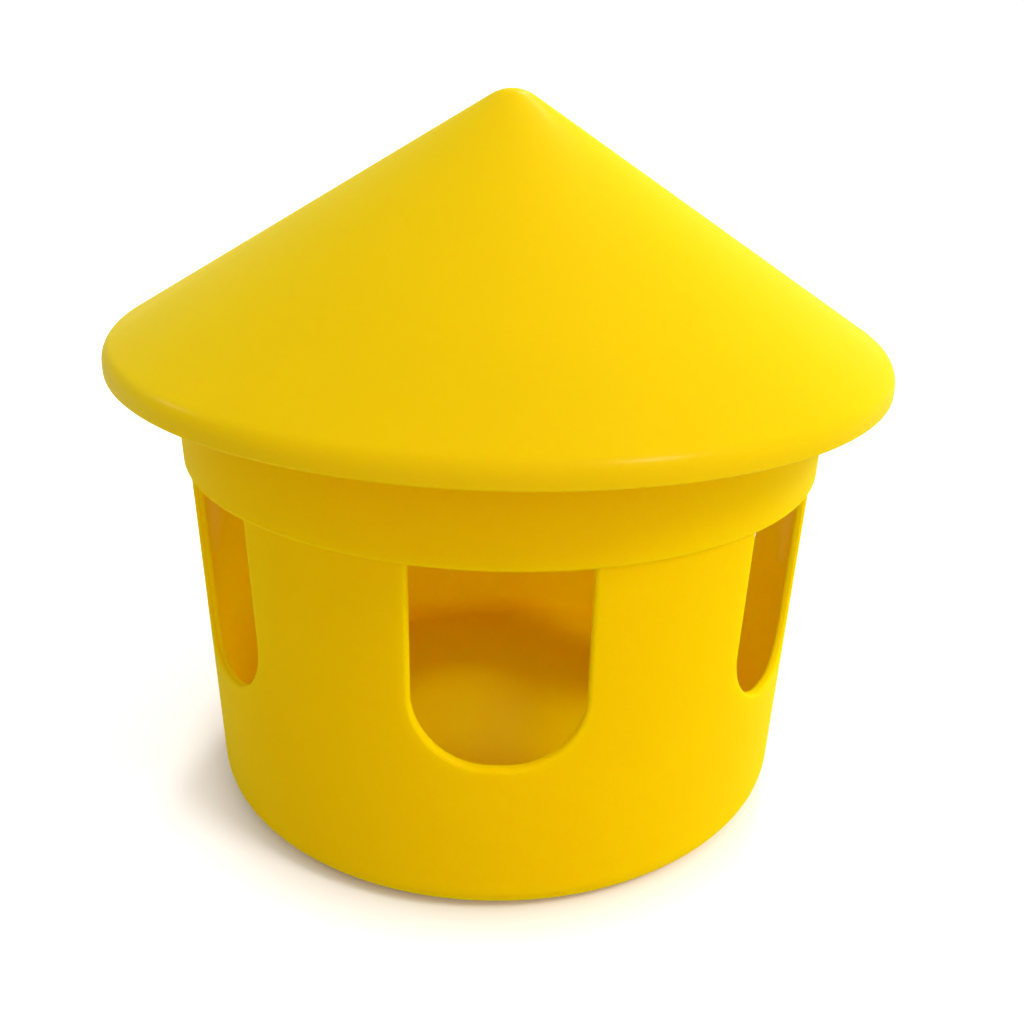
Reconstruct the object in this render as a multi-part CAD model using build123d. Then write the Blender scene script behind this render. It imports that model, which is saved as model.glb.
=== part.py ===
from build123d import *
import math
import os

# Bird feeding pot. A tub with a ring of U-shaped feeding windows under a wide band, and a loose
# conical roof that rests on the tub's rim. Millimetres, +Z up. The origin is on the ground at the
# centre of the base, and the first window faces -Y.

# Tub
BASE_RADIUS = 77.5  # outside of the wall, carried down to the ground
STEP_RADIUS = 80.0  # outside of the wall, just under the band
STEP_HEIGHT = 92.6  # underside of the band, where the windows end
POT_HEIGHT = 126.9  # top of the rim, which carries the roof
POT_WALL = 2.4
FLOOR_THICKNESS = 2.6
BASE_ROUND = 8.5  # outside, between the foot and the wall
BOWL_ROUND = 6.5  # inside, between the floor and the wall

# Foot ring and moulding gate mark, both under the floor
FOOT_RECESS = 0.8  # how far the underside stands clear of the ground
FOOT_WIDTH = 6.0
GATE_RADIUS = 5.0
GATE_DEPTH = 0.5
GATE_STUB_RADIUS = 1.4
GATE_STUB_GAP = 0.2  # how far the stub stays inside the underside

# Band
BAND_STEP = 1.2  # how far the band stands out from the wall
BAND_ROUND = 1.0  # outside, along the band's lower edge
JOGGLE_ROUND = 2.0  # inside, where the wall steps out into the band
RIM_ROUND = 0.6

# Feeding windows
WINDOW_COUNT = 6
WINDOW_WIDTH = 38.9
WINDOW_SILL = 42.6  # lowest point above the ground
SILL_FLAT = 4.1  # level part of the sill, between its two round corners
WINDOW_OUTER_ROUND = 1.3
WINDOW_INNER_ROUND = 0.5

# Roof
ROOF_SLOPE = 31.66  # degrees above the horizontal
ROOF_OVERHANG = 14.8  # beyond the rim
ROOF_WALL = 2.0
SHOULDER_ROUND = 2.9  # inside
LIP_HEIGHT = 2.3  # upright part, below the shoulder
LIP_ROUND = 0.6
APEX_ROUND = 8.0  # inside

# Seat on the rim, and the collar that keeps the roof central in the tub's mouth
SEAT_DROP = 1.55  # how far the seat stands below the roof's underside, at the rim's outer edge
SEAT_MARGIN = 0.4  # how far the seat runs past the rim
COLLAR_GAP = 0.6  # running clearance to the tub's mouth
COLLAR_DEPTH = 6.0
COLLAR_WALL = 1.8
COLLAR_DRAFT = 0.3  # how much slimmer the collar is at its lower end
COLLAR_ROUND = 0.5

# Worked out from the sizes above
WALL_LEAN = (STEP_RADIUS - BASE_RADIUS) / STEP_HEIGHT
FLOOR_TOP = FOOT_RECESS + FLOOR_THICKNESS
FOOT_RADIUS = BASE_RADIUS - BASE_ROUND - FOOT_WIDTH
GATE_TOP = FOOT_RECESS + GATE_DEPTH
STUB_END = FOOT_RECESS + GATE_STUB_GAP
RIM_RADIUS = STEP_RADIUS + BAND_STEP + WALL_LEAN * (POT_HEIGHT - STEP_HEIGHT)
ROOF_RADIUS = RIM_RADIUS + ROOF_OVERHANG
SLOPE = math.radians(ROOF_SLOPE)


def wall_radius(height):
    """Outside radius of the tub's wall below the band."""
    return BASE_RADIUS + WALL_LEAN * height


def mouth_radius(height):
    """Inside radius of the band."""
    return RIM_RADIUS - POT_WALL - WALL_LEAN * (POT_HEIGHT - height)


def roof_height(radius, depth):
    """Height of the roof's flank at a radius, at a depth into its wall."""
    over_rim = ROOF_WALL / math.cos(SLOPE) + SEAT_DROP
    above_edge = (RIM_RADIUS - radius) * math.tan(SLOPE)
    return POT_HEIGHT + over_rim + above_edge - depth / math.cos(SLOPE)


def outline(corners):
    """Face from (radius, height) corners. A corner's third value, if it has one, rounds it."""
    face = make_face(Polyline(*[corner[:2] for corner in corners], close=True))
    for corner in corners:
        if len(corner) == 3:
            vertex = face.vertices().sort_by_distance(corner[:2])[0]
            face = fillet(vertex, corner[2])
    return face


def turned(face):
    """Solid of revolution about Z from a face in (radius, height)."""
    return revolve(Plane.XZ * face, Axis.Z)


def tub():
    """Wall, floor and foot ring, up to the underside of the band."""
    corners = [
        (0, STUB_END),
        (GATE_STUB_RADIUS, STUB_END),
        (GATE_STUB_RADIUS, GATE_TOP),
        (GATE_RADIUS, GATE_TOP),
        (GATE_RADIUS, FOOT_RECESS),
        (FOOT_RADIUS - FOOT_RECESS, FOOT_RECESS),
        (FOOT_RADIUS, 0),
        (BASE_RADIUS, 0, BASE_ROUND),
        (STEP_RADIUS, STEP_HEIGHT),
        (STEP_RADIUS - POT_WALL, STEP_HEIGHT),
        (wall_radius(FLOOR_TOP) - POT_WALL, FLOOR_TOP, BOWL_ROUND),
        (0, FLOOR_TOP),
    ]
    return turned(outline(corners))


def window_cutter():
    """Prism with the window's U outline, from the tub's axis out past its wall."""
    corner = (WINDOW_WIDTH - SILL_FLAT) / 2
    height = STEP_HEIGHT + POT_WALL - WINDOW_SILL
    shape = Pos(0, WINDOW_SILL + height / 2) * Rectangle(WINDOW_WIDTH, height)
    shape = fillet(shape.vertices().group_by(Axis.Y)[0], corner)
    return extrude(Plane.XZ * shape, max(BASE_RADIUS, STEP_RADIUS) + POT_WALL)


def window_edges(wall, depth):
    """The windows' edges that run at one depth into the wall, without those at its top."""
    found = ShapeList()
    for edge in wall.edges():
        points = [edge.position_at(share) for share in (0.1, 0.5, 0.9)]
        off = [wall_radius(p.Z) - math.hypot(p.X, p.Y) - depth for p in points]
        above_floor = points[1].Z > WINDOW_SILL - POT_WALL
        below_band = points[1].Z < STEP_HEIGHT - POT_WALL
        if above_floor and below_band and max(map(abs, off)) < POT_WALL / 20:
            found.append(edge)
    return found


def with_windows(wall):
    """Cuts the windows, open at the top, and rounds their edges outside and inside."""
    for step in range(WINDOW_COUNT):
        wall -= Rot(0, 0, step * 360 / WINDOW_COUNT) * window_cutter()
    wall = fillet(window_edges(wall, 0), min(WINDOW_OUTER_ROUND, POT_WALL * 0.6))
    return fillet(window_edges(wall, POT_WALL), min(WINDOW_INNER_ROUND, POT_WALL * 0.3))


def band():
    """Ring that stands out over the wall and ends in the rim."""
    rim_round = min(RIM_ROUND, POT_WALL * 0.3)
    joggle = STEP_HEIGHT + POT_WALL
    corners = [
        (STEP_RADIUS - POT_WALL, STEP_HEIGHT),
        (STEP_RADIUS + BAND_STEP, STEP_HEIGHT, BAND_ROUND),
        (RIM_RADIUS, POT_HEIGHT, rim_round),
        (mouth_radius(POT_HEIGHT), POT_HEIGHT, rim_round),
        (mouth_radius(joggle), joggle, JOGGLE_ROUND),
    ]
    return turned(outline(corners))


def roof_shell():
    """Conical sheet with a rounded apex, a rounded shoulder and a short upright lip."""
    shoulder = SHOULDER_ROUND + ROOF_WALL
    inside = ROOF_RADIUS - ROOF_WALL
    turn = math.pi / 2 - SLOPE
    lip_end = roof_height(ROOF_RADIUS, 0) - shoulder * math.tan(turn / 2) - LIP_HEIGHT
    lip_round = min(LIP_ROUND, ROOF_WALL * 0.35)
    corners = [
        (0, roof_height(0, 0)),
        (ROOF_RADIUS, roof_height(ROOF_RADIUS, 0), shoulder),
        (ROOF_RADIUS, lip_end, lip_round),
        (inside, lip_end, lip_round),
        (inside, roof_height(inside, ROOF_WALL), SHOULDER_ROUND),
        (0, roof_height(0, ROOF_WALL)),
    ]
    half = outline(corners)
    whole = half + mirror(half, Plane.YZ)
    for depth, rounding in ((0, APEX_ROUND + ROOF_WALL), (ROOF_WALL, APEX_ROUND)):
        apex = whole.vertices().sort_by_distance((0, roof_height(0, depth)))[0]
        whole = fillet(apex, rounding)
    right_side = Pos(ROOF_RADIUS, POT_HEIGHT) * Rectangle(2 * ROOF_RADIUS, 4 * POT_HEIGHT)
    return turned(whole & right_side)


def seat_and_collar():
    """Flat seat that stands on the rim, and the ring that hangs inside the tub's mouth."""
    end = POT_HEIGHT - COLLAR_DEPTH
    seat_radius = RIM_RADIUS + SEAT_MARGIN
    collar_radius = mouth_radius(end) - COLLAR_GAP
    collar_inside = collar_radius - COLLAR_WALL
    collar_round = min(COLLAR_ROUND, COLLAR_WALL * 0.3)
    corners = [
        (collar_inside, end, collar_round),
        (collar_radius - COLLAR_DRAFT, end, collar_round),
        (collar_radius, POT_HEIGHT),
        (seat_radius, POT_HEIGHT),
        (seat_radius, roof_height(seat_radius, ROOF_WALL / 2)),
        (collar_inside, roof_height(collar_inside, ROOF_WALL / 2)),
    ]
    return turned(outline(corners))


def pot():
    """The tub with its windows and its band, in one piece."""
    return with_windows(tub()) + band()


def lid():
    """The roof with its seat and its collar, in one piece."""
    return roof_shell() + seat_and_collar()


os.makedirs("parts", exist_ok=True)
export_step(pot(), "parts/pot.step")
export_step(lid(), "parts/lid.step")
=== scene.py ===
import math

import bmesh
import bpy
from mathutils import Matrix, Vector


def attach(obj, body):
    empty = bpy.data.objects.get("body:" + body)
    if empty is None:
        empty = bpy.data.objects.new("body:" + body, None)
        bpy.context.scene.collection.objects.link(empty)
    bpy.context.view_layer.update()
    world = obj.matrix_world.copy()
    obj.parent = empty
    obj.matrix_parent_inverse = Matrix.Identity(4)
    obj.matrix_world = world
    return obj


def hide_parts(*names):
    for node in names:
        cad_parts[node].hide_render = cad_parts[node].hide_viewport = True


MM = 0.001

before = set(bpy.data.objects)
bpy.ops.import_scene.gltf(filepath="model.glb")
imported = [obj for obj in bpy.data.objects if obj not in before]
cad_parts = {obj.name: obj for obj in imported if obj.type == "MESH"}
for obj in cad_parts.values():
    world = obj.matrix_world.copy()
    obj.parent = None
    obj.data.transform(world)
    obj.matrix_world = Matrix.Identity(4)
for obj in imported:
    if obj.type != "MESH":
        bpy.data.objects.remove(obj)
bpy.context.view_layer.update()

# Tub, in millimetres, as in the frame
BASE_RADIUS = 77.5  # outside of the wall, carried down to the ground
STEP_RADIUS = 80.0  # outside of the wall, just under the band
STEP_HEIGHT = 92.6  # underside of the band, where the windows end
POT_HEIGHT = 126.9
POT_WALL = 2.4
FLOOR_TOP = 3.4
BASE_ROUND = 8.5  # outside, between the foot and the wall
BOWL_ROUND = 6.5  # inside, between the floor and the wall
FOOT_RECESS = 0.8  # how far the underside stands clear of the ground
FOOT_RADIUS = 63.0  # inner edge of the foot ring
FOOT_SLOPE = 0.8  # how far the foot ring's inner side leans
GATE_RADIUS = 5.0  # moulding gate mark under the floor, with a stub in it
GATE_TOP = 1.3
STUB_RADIUS = 1.4
STUB_END = 1.0
BAND_RADIUS = 81.2  # at the band's lower edge
BAND_ROUND = 1.0
JOGGLE_HEIGHT = 95.0  # inside, where the wall has stepped out into the band
JOGGLE_ROUND = 2.0
RIM_ROUND = 0.6
WALL_LEAN = (STEP_RADIUS - BASE_RADIUS) / STEP_HEIGHT
RIM_RADIUS = BAND_RADIUS + WALL_LEAN * (POT_HEIGHT - STEP_HEIGHT)

# Feeding windows
WINDOWS = 6
WINDOW_HALF = 19.45  # half of the width
WINDOW_SILL = 42.6  # lowest point above the ground
WINDOW_CORNER = 17.4  # radius of the two round corners
OUTER_ROUND = 1.3
INNER_ROUND = 0.5
LOW_LINE = 37.0  # height under the windows where their mesh ends

# Roof
SLOPE = math.radians(31.66)
ROOF_RADIUS = RIM_RADIUS + 14.8
ROOF_WALL = 2.0
SHOULDER_ROUND = 2.9  # inside
LIP_HEIGHT = 2.3
LIP_ROUND = 0.6
APEX_ROUND = 8.0  # inside
SEAT_DROP = 1.55  # how far the seat stands below the roof's underside, at the rim's outer edge
SEAT_RADIUS = RIM_RADIUS + 0.4
COLLAR_END = 120.9  # height of its lower end
COLLAR_GAP = 0.6  # running clearance to the tub's mouth
COLLAR_WALL = 1.8
COLLAR_DRAFT = 0.3  # how much slimmer the collar is at its lower end
COLLAR_ROUND = 0.5

# Mesh. The steps of half a window's outline run from its top to the middle of its sill. The tub's
# foot has as many steps round it as the lower borders of all the windows' sectors together.
SIDE_STEPS = 8  # down the straight side
UPPER_STEPS = 16  # along the upper half of the round corner
LOWER_STEPS = 17  # along its lower half
SILL_STEPS = 3
AROUND = 2 * WINDOWS * (LOWER_STEPS + SILL_STEPS)
POST_STEPS = 8  # across half of a post between two windows
TOP_STEPS = 8  # across half of a window, at its top
OUTER_STEPS = 7  # over a window's outer rounded edge
INNER_STEPS = 4
QUARTER_STEPS = 10  # along a quarter turn of any other rounding
FEWEST_STEPS = 3  # along the shortest of them
APEX_STEPS = 6
ON_AXIS = 1e-6  # a radius below this is on the axis, in millimetres
SAME_POINT = 0.002 * MM  # points nearer than this are joined
CREASE = math.radians(25)  # sharper edges than this stay crisp

# Camera. The photograph is a crop, so the lens axis meets the picture beside its centre.
PICTURE = 1024  # pixels, each way
SENSOR = 36.0
FOCAL_PIXELS = 1191.3
AXIS_PIXEL = (592, 560)
CAMERA_DISTANCE = 300.0 * MM
CAMERA_HEIGHT = 198.4 * MM
PAN, TILT, ROLL = -4.652, -25.002, 3.135  # degrees
ABOUT_AXIS = 0.361  # degrees

# Plastic. Noise scales are in patches to the metre, and depths are those of the surface's relief.
POT_COLOUR = (0.93, 0.57, 0.0)
LID_COLOUR = (0.825, 0.55, 0.0)
INSIDE_PAINTED_LIGHT_COLOUR = (0.99, 0.71, 0.0)  # inside the tub, paler: painted light for the light that reaches in through the windows and the wall, to meet the photograph's tones there
NOISE_DETAIL = 2.0
FADE_SCALE = 18.0
FADE_DEPTH = 0.04  # how far the patches go from the even colour, as a share
POT_GLOSS = 0.05  # share of a full clear gloss
LID_GLOSS = 0.11
GLOSS_ROUGHNESS = 0.21
ROUGHNESS = (0.28, 0.36)  # least and most
ROUGHNESS_SCALE = 110.0
GLOW_RADIUS = (0.8, 1.0, 0.03)  # share of the glow's reach in red, green and blue
POT_GLOW = 4.5 * MM  # how far light spreads inside the plastic
LID_GLOW = 1.5 * MM
GRAIN_SCALE = 900.0
GRAIN_DEPTH = 0.004 * MM
WAVE_SCALE = 45.0
WAVE_DEPTH = 0.06 * MM
SEAM_ANGLE = math.radians(30.2)  # mould parting line across the band, and its opposite
SEAM_HALF = 0.35 * MM
SEAM_DEPTH = 0.03 * MM

# Light, on a scale where a white matt surface lit by 1 is white. The sky's slope is its change
# along X, Y and Z. A lamp is where it comes from, its strength, and how wide it is, in degrees.
WHITE = (1.0, 1.0, 1.0, 1.0)
SKY = 0.91
SKY_SLOPE = (0.6, -0.03, -0.2)
SKY_TINT = (1.0, 0.99, 0.97, 1.0)
SKY_SEEN = 1.0  # strength of the white that is seen behind the object
LAMPS = (
    ("key", (0.52, -0.39, 0.75), 0.05, 50),
    ("key_middle", (0.52, -0.39, 0.75), 0.29, 13),
    ("back", (0.2, 0.8, 0.68), 0.27, 14),
    ("rim", (-0.83, 0.32, 0.44), 0.05, 7),
)
BOUNCES = 12

# Floor
FLOOR_REACH = 20.0  # half of its side, in metres
FLOOR_BOUNCE = 0.58  # how pale it is to the light that it throws back
FLOOR_SEEN = 1.0  # how pale it looks
FLOOR_GLOW = 0.34  # beyond the ring, so that only the contact shadow shows; as it fades out towards the pot it paints shade round the foot, on top of the real contact shadow
# where the glow fades in, from none near the pot: a painted shadow ring round the foot
FLOOR_PAINTED_SHADE_RING = (70.0 * MM, 96.0 * MM)

# The two inputs and the result of a Mix node, which has sockets of its own for each type
MIX_NUMBERS = (2, 3, 0)
MIX_COLOURS = (6, 7, 2)


def steps(first, last, count):
    """Evenly spaced values from first to last, both included."""
    return [first + (last - first) * step / count for step in range(count + 1)]


def wall_radius(height):
    """Outside radius of the tub's wall below the band."""
    return BASE_RADIUS + WALL_LEAN * height


def roof_height(radius, depth):
    """Height of the roof's flank at a radius, at a depth into its wall."""
    over_rim = ROOF_WALL / math.cos(SLOPE) + SEAT_DROP
    above_edge = (RIM_RADIUS - radius) * math.tan(SLOPE)
    return POT_HEIGHT + over_rim + above_edge - depth / math.cos(SLOPE)


def rounded(corners):
    """Points of an open line through (radius, height) corners. A third value rounds its corner."""
    points = []
    for index, corner in enumerate(corners):
        here = Vector(corner[:2])
        if len(corner) == 2:
            points.append(here)
            continue
        back = (Vector(corners[index - 1][:2]) - here).normalized()
        ahead = (Vector(corners[index + 1][:2]) - here).normalized()
        half = back.angle(ahead) / 2
        centre = here + (back + ahead).normalized() * corner[2] / math.sin(half)
        start = here + back * corner[2] / math.tan(half) - centre
        sweep = start.angle_signed(here + ahead * corner[2] / math.tan(half) - centre)
        count = max(FEWEST_STEPS, round(abs(sweep) / (math.pi / 2) * QUARTER_STEPS))
        for angle in steps(0, -sweep, count):
            turn = Matrix.Rotation(angle, 2)
            points.append(centre + turn @ start)
    return points


def apex(depth, rounding):
    """Points from the axis out to the flank, over the roof's rounded tip."""
    centre = roof_height(0, depth) - rounding / math.cos(SLOPE)
    return [
        Vector((rounding * math.sin(angle), centre + rounding * math.cos(angle)))
        for angle in steps(0, SLOPE, APEX_STEPS)
    ]


def place(radius, angle, height):
    """Point in metres. Angles run anticlockwise from -Y."""
    return Vector((radius * math.sin(angle), -radius * math.cos(angle), height)) * MM


def add_grid(mesh, rows, closed):
    """Faces between rows of points, each row one point or as many as its neighbour's."""
    made = [[mesh.verts.new(point) for point in row] for row in rows]
    for above, below in zip(made, made[1:]):
        count = max(len(above), len(below))
        for step in range(count if closed else count - 1):
            after = (step + 1) % count
            ring = [above[step % len(above)], below[step % len(below)]]
            ring += [below[after % len(below)], above[after % len(above)]]
            corners = list(dict.fromkeys(ring))
            if len(corners) > 2:
                mesh.faces.new(corners)


def add_turned(mesh, line):
    """Surface of revolution about Z from a line of (radius, height) points."""
    angles = [math.tau * step / AROUND for step in range(AROUND)]
    rows = []
    for radius, height in line:
        here = angles[:1] if radius < ON_AXIS else angles
        rows.append([place(radius, angle, height) for angle in here])
    add_grid(mesh, rows, True)


def finish_piece(mesh, name, body, node, plastic):
    """Makes the piece from its mesh. It rides on its body and stands for its CAD node."""
    bmesh.ops.remove_doubles(mesh, verts=mesh.verts, dist=SAME_POINT)
    bmesh.ops.recalc_face_normals(mesh, faces=mesh.faces)
    data = bpy.data.meshes.new(name)
    mesh.to_mesh(data)
    mesh.free()
    data.shade_smooth()
    data.set_sharp_from_angle(angle=CREASE)
    data.materials.append(plastic)
    piece = bpy.data.objects.new(name, data)
    bpy.context.scene.collection.objects.link(piece)
    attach(piece, body)
    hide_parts(node)


def make_lid():
    """Roof, lip, seat and collar as one surface of revolution."""
    shoulder = SHOULDER_ROUND + ROOF_WALL
    inside = ROOF_RADIUS - ROOF_WALL
    drop = shoulder * math.tan((math.pi / 2 - SLOPE) / 2)
    lip_end = roof_height(ROOF_RADIUS, 0) - drop - LIP_HEIGHT
    mouth = RIM_RADIUS - POT_WALL - WALL_LEAN * (POT_HEIGHT - COLLAR_END)
    collar = mouth - COLLAR_GAP
    bore = collar - COLLAR_WALL
    outer_tip = apex(0, APEX_ROUND + ROOF_WALL)
    inner_tip = apex(ROOF_WALL, APEX_ROUND)[::-1]
    corners = [
        tuple(outer_tip[-1]),
        (ROOF_RADIUS, roof_height(ROOF_RADIUS, 0), shoulder),
        (ROOF_RADIUS, lip_end, LIP_ROUND),
        (inside, lip_end, LIP_ROUND),
        (inside, roof_height(inside, ROOF_WALL), SHOULDER_ROUND),
        (SEAT_RADIUS, roof_height(SEAT_RADIUS, ROOF_WALL)),
        (SEAT_RADIUS, POT_HEIGHT),
        (collar, POT_HEIGHT),
        (collar - COLLAR_DRAFT, COLLAR_END, COLLAR_ROUND),
        (bore, COLLAR_END, COLLAR_ROUND),
        (bore, roof_height(bore, ROOF_WALL)),
        tuple(inner_tip[0]),
    ]
    mesh = bmesh.new()
    add_turned(mesh, outer_tip[:-1] + rounded(corners) + inner_tip[1:])
    plastic = yellow_plastic("lid_plastic", LID_COLOUR, LID_GLOW, LID_GLOSS)
    finish_piece(mesh, "lid_shell", "lid", "lid", plastic)


def window_line(offset):
    """Half of a window's outline, (x, height), from its top to the middle of its sill."""
    middle = WINDOW_HALF - WINDOW_CORNER
    top = WINDOW_SILL + WINDOW_CORNER
    reach = WINDOW_CORNER + offset
    upper = steps(0, math.pi / 4, UPPER_STEPS)[:-1]
    lower = steps(math.pi / 4, math.pi / 2, LOWER_STEPS)
    side = [(WINDOW_HALF + offset, height) for height in steps(STEP_HEIGHT, top, SIDE_STEPS)[:-1]]
    corner = [(middle + reach * math.cos(a), top - reach * math.sin(a)) for a in upper + lower]
    sill = [(x, WINDOW_SILL - offset) for x in steps(middle, 0, SILL_STEPS)[1:]]
    return side + corner + sill


def sector_line():
    """Border of half a window's sector, (angle, height), point for point with window_line."""
    edge = math.pi / WINDOWS
    top = WINDOW_SILL + WINDOW_CORNER
    heights = steps(STEP_HEIGHT, top, SIDE_STEPS)[:-1] + steps(top, LOW_LINE, UPPER_STEPS)[:-1]
    foot = steps(edge, 0, LOWER_STEPS + SILL_STEPS)
    return [(edge, height) for height in heights] + [(angle, LOW_LINE) for angle in foot]


def on_wall(x, height, depth):
    """(angle, height, depth) of a point that stands x beside the window's middle plane."""
    return (math.asin(x / (wall_radius(height) - depth)), height, depth)


def between(border, edge, depth):
    """Points over the wall, from its sector's border to a window's edge."""
    rows = []
    for share in steps(0, 1, POST_STEPS):
        rows.append([
            (b[0] + (e[0] - b[0]) * share, b[1] + (e[1] - b[1]) * share, depth)
            for b, e in zip(border, edge)
        ])
    return rows


def window_rows():
    """Rows of (angle, height, depth) from the wall's outside round a window's edge to its inside."""
    border = sector_line()
    rounding = []
    for angle in steps(0, math.pi / 2, OUTER_STEPS):
        rounding.append((OUTER_ROUND * (1 - math.sin(angle)), OUTER_ROUND * (1 - math.cos(angle))))
    for angle in steps(0, math.pi / 2, INNER_STEPS):
        depth = POT_WALL - INNER_ROUND * (1 - math.sin(angle))
        rounding.append((INNER_ROUND * (1 - math.cos(angle)), depth))
    edges = [[on_wall(x, z, depth) for x, z in window_line(offset)] for offset, depth in rounding]
    outside = between(border, edges[0], 0)
    inside = between(border, edges[-1], POT_WALL)[::-1]
    return outside + edges[1:-1] + inside


def ring_angles(radius, offset):
    """Angles round the band that meet the wall's mesh below it, for one depth."""
    edge = math.pi / WINDOWS
    near = math.asin((WINDOW_HALF + offset) / radius)
    half = steps(0, near, TOP_STEPS) + steps(near, edge, POST_STEPS)[1:]
    whole = [-angle for angle in half[:0:-1]] + half[:-1]
    return [2 * edge * turn + angle for turn in range(WINDOWS) for angle in whole]


def add_band(mesh, outer, inner):
    """The band, from the wall's outside over the rim to its inside, by its angles on each."""
    joggle_radius = BAND_RADIUS - POT_WALL + WALL_LEAN * (JOGGLE_HEIGHT - STEP_HEIGHT)
    corners = [
        (STEP_RADIUS, STEP_HEIGHT),
        (BAND_RADIUS, STEP_HEIGHT, BAND_ROUND),
        (RIM_RADIUS, POT_HEIGHT, RIM_ROUND),
        (RIM_RADIUS - POT_WALL, POT_HEIGHT, RIM_ROUND),
        (joggle_radius, JOGGLE_HEIGHT, JOGGLE_ROUND),
        (STEP_RADIUS - POT_WALL, STEP_HEIGHT),
    ]
    line = rounded(corners)
    rows = []
    for share, (radius, height) in zip(steps(0, 1, len(line) - 1), line):
        angles = [a + (b - a) * share for a, b in zip(outer, inner)]
        rows.append([place(radius, angle, height) for angle in angles])
    add_grid(mesh, rows, True)


def add_window_tops(mesh, rows, outer, inner):
    """The flat underside of the band over each window, out to the rounded ends of the posts."""
    end = [row[0] for row in rows[POST_STEPS:-POST_STEPS]][1:-1]
    sector = len(outer) // WINDOWS
    for turn in range(WINDOWS):
        middle = math.tau / WINDOWS * turn
        start = sector * turn + sector // 2
        left = [place(wall_radius(z) - d, middle - a, z) for a, z, d in end[::-1]]
        right = [place(wall_radius(z) - d, middle + a, z) for a, z, d in end]
        for step in range(-TOP_STEPS, TOP_STEPS):
            here, after = start + step, start + step + 1
            front = [place(STEP_RADIUS, outer[i], STEP_HEIGHT) for i in (here, after)]
            back = [place(STEP_RADIUS - POT_WALL, inner[i], STEP_HEIGHT) for i in (after, here)]
            side = right if step == TOP_STEPS - 1 else []
            last = left if step == -TOP_STEPS else []
            mesh.faces.new([mesh.verts.new(point) for point in front + side + back + last])


def make_pot():
    """Tub, windows and band as one closed mesh."""
    mesh = bmesh.new()
    foot = [
        (0, STUB_END),
        (STUB_RADIUS, STUB_END),
        (STUB_RADIUS, GATE_TOP),
        (GATE_RADIUS, GATE_TOP),
        (GATE_RADIUS, FOOT_RECESS),
        (FOOT_RADIUS - FOOT_SLOPE, FOOT_RECESS),
        (FOOT_RADIUS, 0),
        (BASE_RADIUS, 0, BASE_ROUND),
        (wall_radius(LOW_LINE), LOW_LINE),
    ]
    bowl = [
        (wall_radius(LOW_LINE) - POT_WALL, LOW_LINE),
        (wall_radius(FLOOR_TOP) - POT_WALL, FLOOR_TOP, BOWL_ROUND),
        (0, FLOOR_TOP),
    ]
    add_turned(mesh, rounded(foot))
    add_turned(mesh, rounded(bowl))
    rows = window_rows()
    for turn in range(WINDOWS):
        middle = math.tau / WINDOWS * turn
        for side in (-1, 1):
            grid = [[place(wall_radius(z) - d, middle + side * a, z) for a, z, d in row] for row in rows]
            add_grid(mesh, grid, False)
    outer = ring_angles(STEP_RADIUS, OUTER_ROUND)
    inner = ring_angles(STEP_RADIUS - POT_WALL, INNER_ROUND)
    add_band(mesh, outer, inner)
    add_window_tops(mesh, rows, outer, inner)
    plastic = yellow_plastic("pot_plastic", POT_COLOUR, POT_GLOW, POT_GLOSS, INSIDE_PAINTED_LIGHT_COLOUR)
    finish_piece(mesh, "pot_shell", "pot", "pot", plastic)


def make_camera():
    """The camera at the photograph's viewpoint, looking along +Y and down."""
    data = bpy.data.cameras.new("camera")
    data.sensor_width = SENSOR
    data.lens = FOCAL_PIXELS / PICTURE * SENSOR
    data.shift_x = (PICTURE / 2 - AXIS_PIXEL[0]) / PICTURE
    data.shift_y = (AXIS_PIXEL[1] - PICTURE / 2) / PICTURE
    camera = bpy.data.objects.new("camera", data)
    level = Matrix.Rotation(math.pi / 2, 3, "X")
    pan = Matrix.Rotation(math.radians(PAN), 3, "Z")
    tilt = Matrix.Rotation(math.radians(TILT), 3, "X")
    roll = Matrix.Rotation(math.radians(ROLL), 3, "Z")
    turn = pan @ tilt @ level @ roll
    stand = Matrix.Translation((0, -CAMERA_DISTANCE, CAMERA_HEIGHT)) @ turn.to_4x4()
    camera.matrix_world = Matrix.Rotation(math.radians(ABOUT_AXIS), 4, "Z") @ stand
    bpy.context.scene.collection.objects.link(camera)
    bpy.context.scene.camera = camera


def feed(tree, value, socket):
    """Gives a socket a number, a colour or a link."""
    if isinstance(value, bpy.types.NodeSocket):
        tree.links.new(value, socket)
    else:
        socket.default_value = value


def add_node(tree, kind, settings=(), **inputs):
    """A new node. Settings are its own fields. Inputs go by their names, or by place as i0, i1."""
    node = tree.nodes.new("ShaderNode" + kind)
    for field, value in dict(settings).items():
        setattr(node, field, value)
    for name, value in inputs.items():
        by_place = name[1:].isdigit()
        feed(tree, value, node.inputs[int(name[1:]) if by_place else name.replace("_", " ")])
    return node


def calculate(tree, operation, first, second=0.0):
    """The result of a sum of one or two numbers."""
    return add_node(tree, "Math", {"operation": operation}, i0=first, i1=second).outputs[0]


def length(tree, vector):
    """The length of a vector."""
    return add_node(tree, "VectorMath", {"operation": "LENGTH"}, i0=vector).outputs["Value"]


def ramp(tree, value, zero_at, one_at):
    """0 to 1 as a value goes from one end to the other, eased at both ends."""
    settings = {"interpolation_type": "SMOOTHSTEP"}
    ends = {"From_Min": zero_at, "From_Max": one_at}
    return add_node(tree, "MapRange", settings, Value=value, **ends).outputs[0]


def mixed(tree, factor, first, second):
    """A number or colour that goes from first to second as the factor goes from 0 to 1."""
    colours = isinstance(second, tuple)
    mix = add_node(tree, "Mix", {"data_type": "RGBA" if colours else "FLOAT"}, Factor=factor)
    start, end, result = MIX_COLOURS if colours else MIX_NUMBERS
    feed(tree, first, mix.inputs[start])
    feed(tree, second, mix.inputs[end])
    return mix.outputs[result]


def noise(tree, where, scale):
    """Smooth noise from 0 to 1, with its patches spread evenly about one half."""
    return add_node(tree, "TexNoise", Vector=where, Scale=scale, Detail=NOISE_DETAIL).outputs[0]


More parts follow.
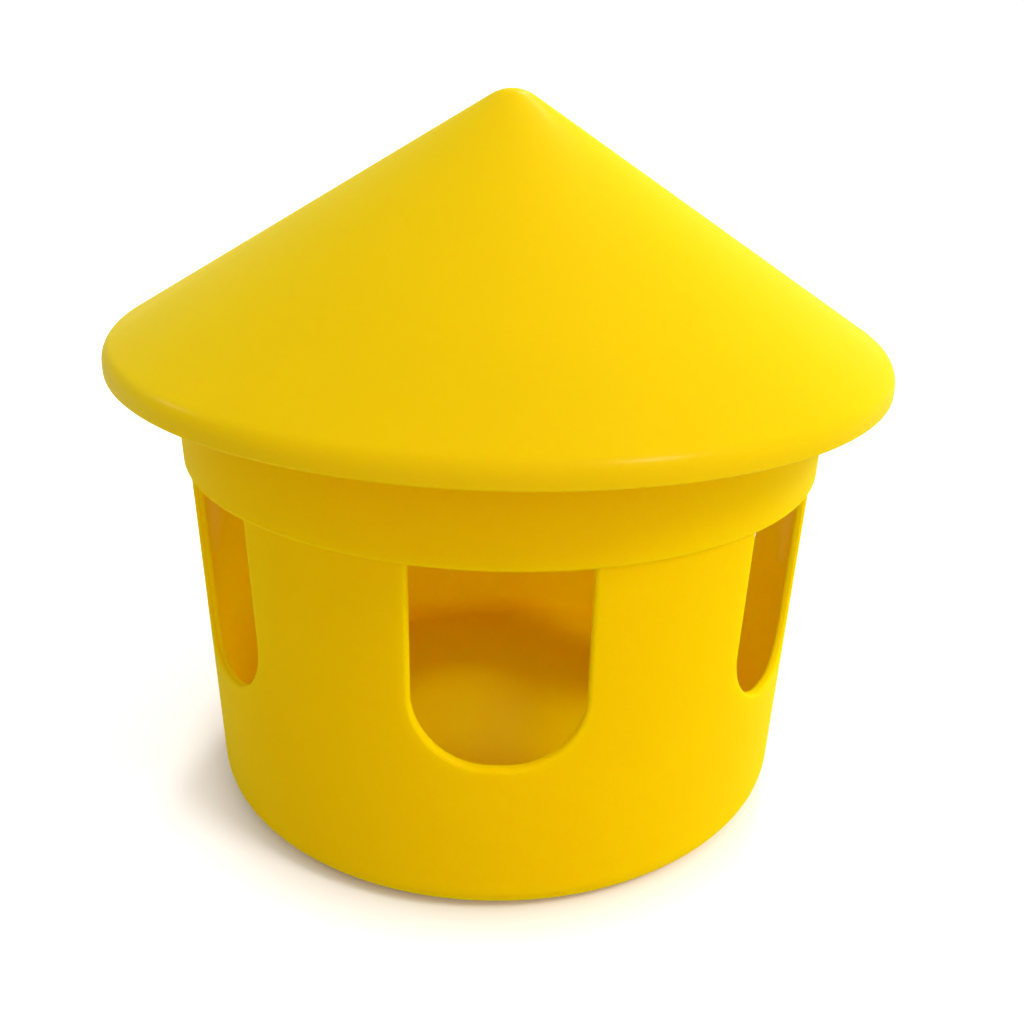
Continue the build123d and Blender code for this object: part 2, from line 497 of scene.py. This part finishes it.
def add_bump(tree, height, depth, under=None):
    """Normals that follow a height from 0 to 1, with this depth in metres."""
    inputs = {"Height": height, "Distance": depth}
    if under:
        inputs["Normal"] = under
    return add_node(tree, "Bump", **inputs).outputs[0]


def seam(tree, parts):
    """1 along the band's parting line, fading to 0 beside it."""
    across = calculate(tree, "MULTIPLY", parts.outputs[0], math.cos(SEAM_ANGLE))
    along = calculate(tree, "MULTIPLY", parts.outputs[1], math.sin(SEAM_ANGLE))
    off = calculate(tree, "ABSOLUTE", calculate(tree, "ADD", across, along))
    near = ramp(tree, off, SEAM_HALF, 0)
    above = calculate(tree, "GREATER_THAN", parts.outputs[2], (STEP_HEIGHT + BAND_ROUND) * MM)
    below = calculate(tree, "LESS_THAN", parts.outputs[2], POT_HEIGHT * MM)
    return calculate(tree, "MULTIPLY", near, calculate(tree, "MULTIPLY", above, below))


def within_tub(tree, parts):
    """1 for the inside of the tub's wall and floor, where the painted light goes, 0 for the outside and
    the underside.
    """
    flat = add_node(tree, "CombineXYZ", i0=parts.outputs[0], i1=parts.outputs[1]).outputs[0]
    middle = calculate(tree, "MULTIPLY", parts.outputs[2], WALL_LEAN)
    middle = calculate(tree, "ADD", middle, (BASE_RADIUS - POT_WALL / 2) * MM)
    within = calculate(tree, "LESS_THAN", length(tree, flat), middle)
    raised = calculate(tree, "GREATER_THAN", parts.outputs[2], FLOOR_TOP / 2 * MM)
    return calculate(tree, "MULTIPLY", within, raised)


def yellow_plastic(name, outside, glow, gloss, inside=None):
    """Satin moulded plastic that lets some light through. Only the tub's has an inside colour, a paler
    one that is painted light.
    """
    material = bpy.data.materials.new(name)
    material.use_nodes = True
    tree = material.node_tree
    where = add_node(tree, "TexCoord").outputs["Object"]
    parts = add_node(tree, "SeparateXYZ", i0=where)
    colour = (*outside, 1)
    # the tub's inside takes a paler colour: painted light
    if inside:
        colour = mixed(tree, within_tub(tree, parts), colour, (*inside, 1))
    fade = calculate(tree, "MULTIPLY", noise(tree, where, FADE_SCALE), 2 * FADE_DEPTH)
    fade = calculate(tree, "SUBTRACT", 1 + FADE_DEPTH, fade)
    faded = add_node(tree, "HueSaturation", Value=fade, Color=colour).outputs[0]
    patches = noise(tree, where, ROUGHNESS_SCALE)
    rough = add_node(tree, "MapRange", Value=patches, To_Min=ROUGHNESS[0], To_Max=ROUGHNESS[1])
    normal = add_bump(tree, noise(tree, where, WAVE_SCALE), WAVE_DEPTH)
    normal = add_bump(tree, noise(tree, where, GRAIN_SCALE), GRAIN_DEPTH, normal)
    if inside:
        normal = add_bump(tree, seam(tree, parts), SEAM_DEPTH, normal)
    shader = tree.nodes["Principled BSDF"]
    feed(tree, faded, shader.inputs["Base Color"])
    feed(tree, rough.outputs[0], shader.inputs["Roughness"])
    feed(tree, normal, shader.inputs["Normal"])
    feed(tree, normal, shader.inputs["Coat Normal"])
    shader.inputs["Specular IOR Level"].default_value = 0
    shader.inputs["Coat Weight"].default_value = gloss
    shader.inputs["Coat Roughness"].default_value = GLOSS_ROUGHNESS
    shader.inputs["Subsurface Weight"].default_value = 1
    shader.inputs["Subsurface Radius"].default_value = GLOW_RADIUS
    shader.inputs["Subsurface Scale"].default_value = glow
    return material


def seen_directly(tree):
    """1 for rays from the camera, and for those that gloss or glass passes on, else 0."""
    path = add_node(tree, "LightPath")
    seen = calculate(tree, "MAXIMUM", path.outputs["Is Camera Ray"], path.outputs["Is Glossy Ray"])
    return calculate(tree, "MAXIMUM", seen, path.outputs["Is Transmission Ray"])


def make_floor():
    """White floor that keeps the pot's contact shadow, darkened round the foot by a painted shadow where
    its glow fades out.
    """
    data = bpy.data.meshes.new("floor")
    reach = FLOOR_REACH
    corners = [(-reach, -reach, 0), (reach, -reach, 0), (reach, reach, 0), (-reach, reach, 0)]
    data.from_pydata(corners, [], [(0, 1, 2, 3)])
    floor = bpy.data.objects.new("floor", data)
    bpy.context.scene.collection.objects.link(floor)
    material = bpy.data.materials.new("floor")
    material.use_nodes = True
    tree = material.node_tree
    shader = tree.nodes["Principled BSDF"]
    seen = seen_directly(tree)
    feed(tree, mixed(tree, seen, FLOOR_BOUNCE, FLOOR_SEEN), shader.inputs["Base Color"])
    away = length(tree, add_node(tree, "TexCoord").outputs["Object"])
    # the glow fades out towards the pot: painted shade round the foot
    glow = calculate(tree, "MULTIPLY", ramp(tree, away, *FLOOR_PAINTED_SHADE_RING), FLOOR_GLOW)
    feed(tree, calculate(tree, "MULTIPLY", seen, glow), shader.inputs["Emission Strength"])
    shader.inputs["Emission Color"].default_value = WHITE
    shader.inputs["Roughness"].default_value = 1.0
    shader.inputs["Specular IOR Level"].default_value = 0.0
    data.materials.append(material)


def make_light():
    """White surroundings that grow brighter to one side, and soft lamps."""
    scene = bpy.context.scene
    world = bpy.data.worlds.new("studio")
    scene.world = world
    world.use_nodes = True
    tree = world.node_tree
    ray = add_node(tree, "TexCoord").outputs["Generated"]
    slope = add_node(tree, "VectorMath", {"operation": "DOT_PRODUCT"}, i0=ray, i1=SKY_SLOPE)
    level = calculate(tree, "ADD", slope.outputs["Value"], SKY)
    seen = seen_directly(tree)
    sky = tree.nodes["Background"]
    feed(tree, mixed(tree, seen, level, SKY_SEEN), sky.inputs["Strength"])
    feed(tree, mixed(tree, seen, SKY_TINT, WHITE), sky.inputs["Color"])
    for name, source, strength, width in LAMPS:
        data = bpy.data.lights.new(name, "SUN")
        data.angle = math.radians(width)
        data.energy = strength * math.pi
        lamp = bpy.data.objects.new(name, data)
        lamp.rotation_euler = Vector(source).to_track_quat("Z", "Y").to_euler()
        scene.collection.objects.link(lamp)
    scene.cycles.max_bounces = BOUNCES
    scene.cycles.diffuse_bounces = BOUNCES


make_camera()
make_pot()
make_lid()
make_floor()
make_light()

bpy.context.scene.view_settings.view_transform = "Standard"
